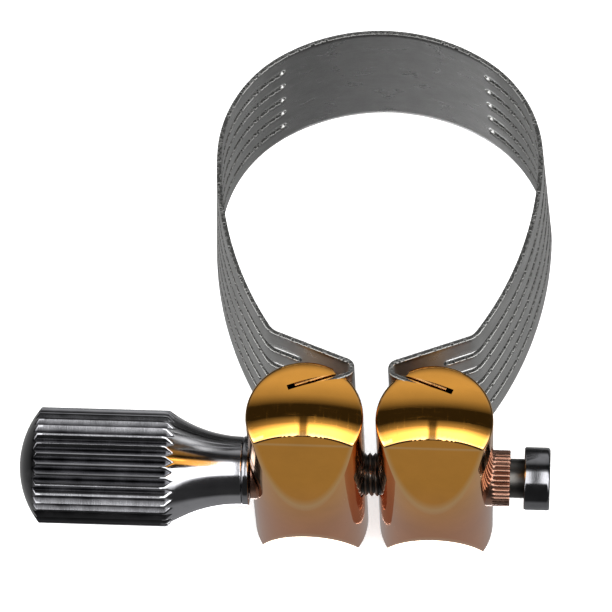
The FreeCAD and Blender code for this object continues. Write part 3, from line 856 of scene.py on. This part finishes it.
def worn_plate(name, dark, bright, sheen, bright_sheen, grain):
    """Plate over turned steel or brass that is rubbed bright on its crests: the colour
    goes from dark in the grooves to bright on the crests by the wear of each point, and
    turning marks and grit break up its gloss. At a grain of 10 the marks are about
    0.07 mm apart and the soft patches 1.7 mm across; a higher grain is finer."""
    material, tree, shader = metal(name, sheen)
    place = node(tree, "ShaderNodeTexCoord").outputs["Object"]
    worn = node(tree, "ShaderNodeAttribute", {"attribute_name": "wear"})
    cloud = node(tree, "ShaderNodeTexNoise", Vector=place, Scale=grain * 60, Detail=5.0, Roughness=0.6)
    uneven = node(
        tree, "ShaderNodeMath", {"operation": "MULTIPLY_ADD"},
        i0=cloud.outputs[0], i1=0.5, i2=worn.outputs["Fac"],
    )
    share = node(tree, "ShaderNodeMapRange", Value=uneven.outputs[0], From_Min=0.25, From_Max=1.25)
    tint = node(tree, "ShaderNodeMix", {"data_type": "RGBA"}, i0=share.outputs[0])
    tint.inputs[6].default_value = with_alpha(dark)
    tint.inputs[7].default_value = with_alpha(bright)
    tree.links.new(tint.outputs[2], shader.inputs["Base Color"])
    marks_place = node(
        tree, "ShaderNodeMapping", Vector=place, Scale=(grain * 1500, grain * 120, grain * 120),
    )
    marks = node(tree, "ShaderNodeTexNoise", Vector=marks_place.outputs[0], Scale=1.0, Detail=3.0)
    gloss = node(
        tree, "ShaderNodeMapRange", Value=cloud.outputs[0],
        From_Min=0.3, From_Max=0.7, To_Min=sheen, To_Max=bright_sheen,
    )
    tree.links.new(gloss.outputs[0], shader.inputs["Roughness"])
    bump = node(tree, "ShaderNodeBump", Strength=0.12, Distance=0.00002, Height=marks.outputs[0])
    tree.links.new(bump.outputs[0], shader.inputs["Normal"])
    return material


def finish(name):
    """The finished material of a name, made once from the colours of the scene."""
    if name in bpy.data.materials:
        return bpy.data.materials[name]
    colours = bpy.context.scene.ligature_colours
    if name == "mirror_copper_gold":
        return copper_gold_plate(colours)
    if name == "satin_nickel_outside":
        # Painted shade: the outside falls to 0.9 of its colour over the plate.
        return satin_nickel(name, colours.band, 0.78, 0.9)
    if name == "satin_nickel_inside_painted_shade":
        # Painted shade: the inside is the same nickel, drawn at three quarters of its colour and falling to
        # 0.16 of that over the plate.
        return satin_nickel(name, [c * 0.75 for c in colours.band], 0.7, 0.16)
    if name == "sheared_edge":
        return sheared_edge(colours)
    if name == "polished_black_nickel":
        return worn_plate(name, colours.black, colours.crest, 0.07, 0.16, 10)
    if name == "rose_copper":
        return worn_plate(name, [c * 0.45 for c in colours.bush], colours.bush, 0.22, 0.34, 10)
    if name == "bare_dark_steel":
        return worn_plate(name, [c * 0.3 for c in colours.steel], colours.steel, 0.3, 0.42, 12)
    raise ValueError("no finish called " + name)


def dress(piece, slot, *finishes):
    """Give a piece its finishes; slot is not used."""
    for name in finishes:
        piece.data.materials.append(finish(name))


# --- operators ---------------------------------------------------------------

class LIGATURE_OT_band(bpy.types.Operator):
    """Build the slotted spring band in two halves that meet in the middle of the plate"""

    bl_idname = "ligature.band"
    bl_label = "Slotted band"

    def execute(self, context):
        sizes = context.scene.ligature_sizes
        for name, side in (("band_knob_half", -1), ("band_cap_half", 1)):
            half = band_half(sizes, name, side)
            dress(half, "nickel_band", "satin_nickel_outside", "sheared_edge", "satin_nickel_inside_painted_shade")
            if side < 0:
                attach(half, "frame")
            else:
                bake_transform(half)
            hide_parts("slotted_band")
        return {"FINISHED"}


class LIGATURE_OT_posts(bpy.types.Operator):
    """Build the two faceted posts"""

    bl_idname = "ligature.posts"
    bl_label = "Posts"

    def execute(self, context):
        sizes = context.scene.ligature_sizes
        for name, side, body, stands_for in (
            ("faceted_post_knob_side", -1, "frame", "left_post"),
            ("faceted_post_cap_side", 1, "clamp", "right_post"),
        ):
            piece = post(sizes, name, side)
            dress(piece, "copper_gold_plate", "mirror_copper_gold")
            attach(piece, body)
            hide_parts(stands_for)
        return {"FINISHED"}


class LIGATURE_OT_bushes(bpy.types.Operator):
    """Build the plain bush and the knurled, threaded bush"""

    bl_idname = "ligature.bushes"
    bl_label = "Bushes"

    def execute(self, context):
        sizes = context.scene.ligature_sizes
        for name, box, knurled, body, stands_for in (
            ("plain_bush_ring", PLAIN_BOX, False, "frame", "plain_bush"),
            ("knurled_bush", BUSH_BOX, True, "clamp", "threaded_bush"),
        ):
            piece = bush(sizes, name, box, knurled)
            dress(piece, "copper_bush", "rose_copper")
            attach(piece, body)
            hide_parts(stands_for)
        return {"FINISHED"}


class LIGATURE_OT_screw(bpy.types.Operator):
    """Build the thumb screw: spindle, knob, washer and end cap, which turn together"""

    bl_idname = "ligature.screw"
    bl_label = "Thumb screw"

    def execute(self, context):
        sizes = context.scene.ligature_sizes
        for maker, slot, material, stands_for in (
            (spindle, "dark_steel", "bare_dark_steel", "screw_spindle"),
            (knob, "black_nickel", "polished_black_nickel", "thumb_knob"),
            (washer, "black_nickel", "polished_black_nickel", "thrust_washer"),
            (end_cap, "black_nickel", "polished_black_nickel", "end_cap"),
        ):
            piece = maker(sizes)
            dress(piece, slot, material)
            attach(piece, "spindle")
            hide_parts(stands_for)
        return {"FINISHED"}


def soft_box(name, place, aim, width, height):
    """Rectangular lamp that faces aim: its power is its radiance times pi times the area
    of the face."""
    lamp = bpy.data.lights.new(name, "AREA")
    lamp.shape, lamp.size, lamp.size_y = "RECTANGLE", width, height
    lamp.energy = LAMP_RADIANCE * math.pi * width * height
    holder = bpy.data.objects.new(name, lamp)
    holder.location = place
    holder.rotation_euler = (Vector(aim) - Vector(place)).to_track_quat("-Z", "Y").to_euler()
    holder.visible_camera = False
    bpy.context.scene.collection.objects.link(holder)


def banded(tree, value, strengths):
    """Colour ramp of greys over -1 to 1, from pairs of place and strength."""
    share = node(tree, "ShaderNodeMapRange", Value=value, From_Min=-1.0, From_Max=1.0)
    ramp = node(tree, "ShaderNodeValToRGB", i0=share.outputs[0])
    bands = ramp.color_ramp.elements
    for _ in strengths[1:-1]:
        bands.new(0.5)
    for band, (place, strength) in zip(bands, strengths):
        band.position = (place + 1) / 2
        band.color = (strength, strength, strength, 1)
    return ramp.outputs[0]


def studio_light():
    """World shader, pale to the camera. Elsewhere its upper half is a pair of soft boxes
    in front, with a dark gap between them, and a dim wall behind them; its lower half
    follows the height of the direction, with a patch of bright paper just aside of
    straight down."""
    world = bpy.data.worlds.new("studio")
    bpy.context.scene.world = world
    world.use_nodes = True
    tree = world.node_tree
    way = node(tree, "ShaderNodeTexCoord").outputs["Generated"]
    part = node(tree, "ShaderNodeSeparateXYZ", i0=way)
    boxes = banded(tree, part.outputs["Y"], FRONT_BOXES)
    split = banded(tree, part.outputs["X"], BOX_GAP)
    pair = node(tree, "ShaderNodeVectorMath", {"operation": "MULTIPLY"}, i0=boxes, i1=split)
    wall = banded(tree, part.outputs["Y"], BACK_WALL)
    upper = node(
        tree, "ShaderNodeVectorMath", {"operation": "ADD"}, i0=pair.outputs[0], i1=wall,
    ).outputs[0]
    facing = node(tree, "ShaderNodeVectorMath", {"operation": "DOT_PRODUCT"}, i0=way, i1=PAPER_WAY)
    patch = node(
        tree, "ShaderNodeMapRange", Value=facing.outputs["Value"],
        From_Min=PAPER_RIM, From_Max=PAPER_FULL, To_Min=0.0, To_Max=PAPER_STRENGTH,
    )
    ground = banded(tree, part.outputs["Z"], GROUND)
    lower = node(
        tree, "ShaderNodeVectorMath", {"operation": "ADD"}, i0=ground, i1=patch.outputs[0],
    ).outputs[0]
    rising = node(
        tree, "ShaderNodeMapRange", {"interpolation_type": "SMOOTHSTEP"},
        Value=part.outputs["Z"], From_Min=-0.05, From_Max=0.25,
    )
    whole = node(tree, "ShaderNodeMix", {"data_type": "RGBA"}, i0=rising.outputs[0], i6=lower, i7=upper)
    seen = node(tree, "ShaderNodeLightPath").outputs["Is Camera Ray"]
    mixed = node(tree, "ShaderNodeMix", {"data_type": "RGBA"}, i0=seen, i6=whole.outputs[2])
    mixed.inputs[7].default_value = BACKDROP
    tree.links.new(mixed.outputs[2], tree.nodes["Background"].inputs[0])


class LIGATURE_OT_studio(bpy.types.Operator):
    """Lay the pale floor, light the piece softly and set the camera"""

    bl_idname = "ligature.studio"
    bl_label = "Studio"

    def execute(self, context):
        scene = context.scene
        low = CAD_BOX[0][2]
        half = FLOOR_HALF
        mesh = bpy.data.meshes.new("floor")
        corners = [(-half, -half, low), (half, -half, low), (half, half, low), (-half, half, low)]
        mesh.from_pydata(corners, [], [(0, 1, 2, 3)])
        floor = bpy.data.objects.new("floor", mesh)
        scene.collection.objects.link(floor)
        paint = bpy.data.materials.new("pale_paper")
        paint.use_nodes = True
        shader = paint.node_tree.nodes["Principled BSDF"]
        shader.inputs["Base Color"].default_value = with_alpha(scene.ligature_colours.floor)
        shader.inputs["Roughness"].default_value = 0.9
        shader.inputs["Specular IOR Level"].default_value = 0.0
        shader.inputs["Emission Color"].default_value = (1, 1, 1, 1)
        shader.inputs["Emission Strength"].default_value = FLOOR_GLOW
        mesh.materials.append(paint)
        floor.visible_glossy = False

        camera = bpy.data.cameras.new("camera")
        camera.sensor_width, camera.lens = CAMERA_SENSOR, CAMERA_LENS
        camera.clip_start, camera.clip_end = 0.01, 20
        eye = bpy.data.objects.new("camera", camera)
        scene.collection.objects.link(eye)
        up = CAMERA_WAY.cross(CAMERA_RIGHT)
        turn = Matrix((CAMERA_RIGHT, up, CAMERA_WAY)).transposed()
        place = CAMERA_TARGET + CAMERA_WAY * CAMERA_DISTANCE
        eye.matrix_world = Matrix.Translation(place) @ turn.to_4x4()
        scene.camera = eye

        scene.view_settings.view_transform = "Standard"
        studio_light()
        aim = (0, POST_Y, 0)
        soft_box("left_box", (-0.55, -0.10, 0.30), aim, 0.08, 0.34)
        soft_box("right_box", (0.55, -0.15, 0.28), aim, 0.06, 0.30)
        return {"FINISHED"}


STEPS = (
    LIGATURE_OT_band, LIGATURE_OT_posts, LIGATURE_OT_bushes, LIGATURE_OT_screw, LIGATURE_OT_studio,
)


class LIGATURE_PT_panel(bpy.types.Panel):
    """Sizes, colours and the steps that build the ligature"""

    bl_idname = "LIGATURE_PT_panel"
    bl_label = "Saxophone ligature"
    bl_space_type = "VIEW_3D"
    bl_region_type = "UI"
    bl_category = "Ligature"

    def draw(self, context):
        for step in STEPS:
            self.layout.operator(step.bl_idname)
        for group in (context.scene.ligature_sizes, context.scene.ligature_colours):
            column = self.layout.column()
            for name in group.__annotations__:
                column.prop(group, name)


CLASSES = (LigatureSizes, LigatureColours, *STEPS, LIGATURE_PT_panel)


def register():
    """Add the classes and the two groups of properties of the scene."""
    for part in CLASSES:
        bpy.utils.register_class(part)
    bpy.types.Scene.ligature_sizes = bpy.props.PointerProperty(type=LigatureSizes)
    bpy.types.Scene.ligature_colours = bpy.props.PointerProperty(type=LigatureColours)


def unregister():
    """Take them all out again."""
    del bpy.types.Scene.ligature_colours
    del bpy.types.Scene.ligature_sizes
    for part in reversed(CLASSES):
        bpy.utils.unregister_class(part)


def main():
    register()
    for build in (
        bpy.ops.ligature.band, bpy.ops.ligature.posts, bpy.ops.ligature.bushes,
        bpy.ops.ligature.screw, bpy.ops.ligature.studio,
    ):
        build()


if __name__ == "__main__":
    main()
